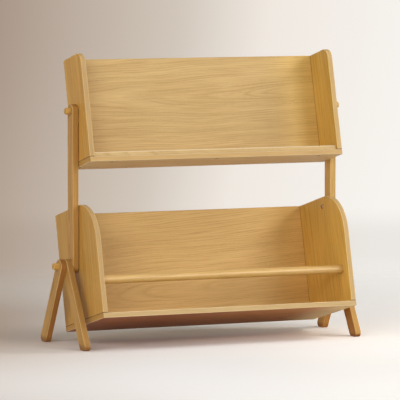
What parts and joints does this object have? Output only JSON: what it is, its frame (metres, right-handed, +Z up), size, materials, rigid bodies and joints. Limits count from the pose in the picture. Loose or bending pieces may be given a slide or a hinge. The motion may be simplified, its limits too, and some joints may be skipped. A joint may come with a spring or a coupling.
{
  "type": "bookcase",
  "caption": "Low oak bookcase of tilted open bins, one above the other, held between side posts on splayed legs, with a lip on the upper bin and a round rail on the lower.",
  "frame": {"origin": "on the floor under the middle of the bookcase", "axes": "+X to the right of someone facing the open front, +Y towards the back, +Z up"},
  "size_m": [0.9492, 0.3654, 0.84],
  "materials": {
    "oak_veneer_panel": "clear satin lacquer over oak veneer",
    "oak_veneer_back": "clear satin lacquer over oak veneer, grain level",
    "solid_oak": "clear satin lacquer over solid oak",
    "beech_pin": "bare beech",
    "dark_steel": "dark oxide",
    "zinc_plated_steel": "bright zinc plate",
    "black_nylon": "black, matt"
  },
  "bodies": {
    "root": {"upper_bottom": "oak_veneer_panel", "upper_back": "oak_veneer_back", "upper_left_side": "oak_veneer_panel", "upper_right_side": "oak_veneer_panel", "upper_front_lip": "solid_oak", "lower_bottom": "oak_veneer_panel", "lower_back": "oak_veneer_back", "lower_left_side": "oak_veneer_panel", "lower_right_side": "oak_veneer_panel", "lower_front_rail": "solid_oak", "left_post": "solid_oak", "right_post": "solid_oak", "left_front_leg": "solid_oak", "left_rear_leg": "solid_oak", "right_front_leg": "solid_oak", "right_rear_leg": "solid_oak", "left_upper_dowel": "solid_oak", "left_lower_dowel": "solid_oak", "right_upper_dowel": "solid_oak", "right_lower_dowel": "solid_oak", "left_upper_spacer": "black_nylon", "left_lower_spacer": "black_nylon", "left_bolt_spacer": "black_nylon", "right_upper_spacer": "black_nylon", "right_lower_spacer": "black_nylon", "right_bolt_spacer": "black_nylon", "left_connector_bolt": "dark_steel", "right_connector_bolt": "dark_steel", "left_threaded_insert": "zinc_plated_steel", "right_threaded_insert": "zinc_plated_steel", "left_locating_pin": "beech_pin", "right_locating_pin": "beech_pin", "left_post_screw": "dark_steel", "left_leg_screw": "dark_steel", "right_post_screw": "dark_steel", "right_leg_screw": "dark_steel", "upper_back_screw_1": "dark_steel", "upper_back_screw_2": "dark_steel", "upper_left_side_screw_1": "dark_steel", "upper_left_side_screw_2": "dark_steel", "upper_right_side_screw_1": "dark_steel", "upper_right_side_screw_2": "dark_steel", "upper_lip_screw_1": "dark_steel", "upper_lip_screw_2": "dark_steel", "upper_lip_screw_3": "dark_steel", "upper_left_back_pin_1": "beech_pin", "upper_left_back_pin_2": "beech_pin", "upper_right_back_pin_1": "beech_pin", "upper_right_back_pin_2": "beech_pin", "lower_back_screw_1": "dark_steel", "lower_back_screw_2": "dark_steel", "lower_left_side_screw_1": "dark_steel", "lower_left_side_screw_2": "dark_steel", "lower_right_side_screw_1": "dark_steel", "lower_right_side_screw_2": "dark_steel", "lower_left_back_pin_1": "beech_pin", "lower_left_back_pin_2": "beech_pin", "lower_right_back_pin_1": "beech_pin", "lower_right_back_pin_2": "beech_pin"}
  },
  "joints": []
}
